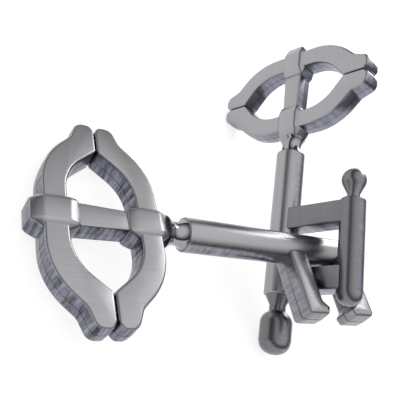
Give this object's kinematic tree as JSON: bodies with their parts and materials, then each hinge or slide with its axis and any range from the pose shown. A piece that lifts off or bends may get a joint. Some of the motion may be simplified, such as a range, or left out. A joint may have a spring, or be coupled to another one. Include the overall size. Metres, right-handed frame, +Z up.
{
  "type": "disentanglement puzzle",
  "caption": "Two interlocked cast metal keys: one with a slotted prong bit, one with a post and window bit, each with a crossed lens-shaped bow.",
  "frame": {"origin": "centre of the bounding box's bottom face, on the surface that the two keys lie on", "axes": "+Z up from the table; +X along the post key from its bow towards its tip finial, nearly level; -Y towards the prong key's bow"},
  "size_m": [0.0836, 0.0746, 0.0431],
  "materials": {
    "bow": "satin nickel plate on cast metal",
    "collar": "satin nickel plate, facets brushed",
    "round_bar": "brushed nickel plate, turned",
    "bit": "brushed nickel plate, flat",
    "polished": "polished nickel plate"
  },
  "bodies": {
    "post_key": {"post_key_bow_outer_left": "bow", "post_key_bow_outer_right": "bow", "post_key_bow_inner_left": "bow", "post_key_bow_inner_right": "bow", "post_key_outer_collar": "collar", "post_key_inner_collar": "collar", "post_key_crossbar": "bow", "post_key_neck": "polished", "post_key_shaft": "round_bar", "post_key_upper_arm": "bit", "post_key_lower_arm": "bit", "post_key_post": "round_bar", "post_key_post_ball": "polished", "post_key_tip_finial": "round_bar"},
    "prong_key": {"prong_key_bow_outer_left": "bow", "prong_key_bow_outer_right": "bow", "prong_key_bow_inner_left": "bow", "prong_key_bow_inner_right": "bow", "prong_key_outer_collar": "collar", "prong_key_inner_collar": "collar", "prong_key_crossbar": "bow", "prong_key_neck": "polished", "prong_key_shaft": "round_bar", "prong_key_near_prong": "bit", "prong_key_far_prong": "bit"}
  },
  "joints": [
    {"name": "prong_key_tilt", "type": "hinge", "parent": "post_key", "child": "prong_key", "pos_m": [0.01583, 0.02662, 0.0169], "axis": [-0.9917, -0.0565, -0.1158], "range_deg": [-6, 36]}
  ]
}
